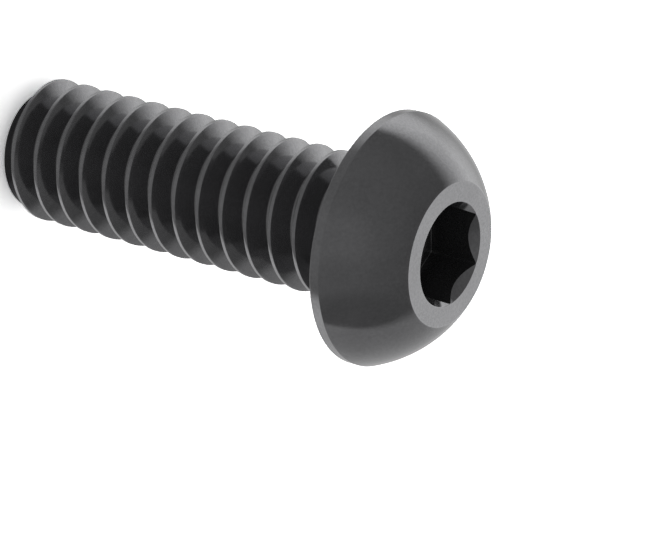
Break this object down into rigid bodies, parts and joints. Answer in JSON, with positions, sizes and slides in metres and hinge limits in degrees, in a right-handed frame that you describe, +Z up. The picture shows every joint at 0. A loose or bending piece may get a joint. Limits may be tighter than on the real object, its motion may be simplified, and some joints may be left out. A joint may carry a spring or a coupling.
{
  "type": "button head socket screw",
  "caption": "Fully threaded machine screw with a low domed button head and a hexagonal key socket, standing on its point.",
  "frame": {"origin": "middle of the point's flat end, which the screw stands on", "axes": "+Z up the screw's axis from the point to the head; a corner of the socket's hexagon is on the +X side"},
  "size_m": [0.011, 0.011, 0.0222],
  "materials": {
    "black_oxide_steel": "black oxide over plain alloy steel, satin, darker in the thread and the socket"
  },
  "bodies": {
    "root": {"button_head_screw": "black_oxide_steel"}
  },
  "joints": []
}
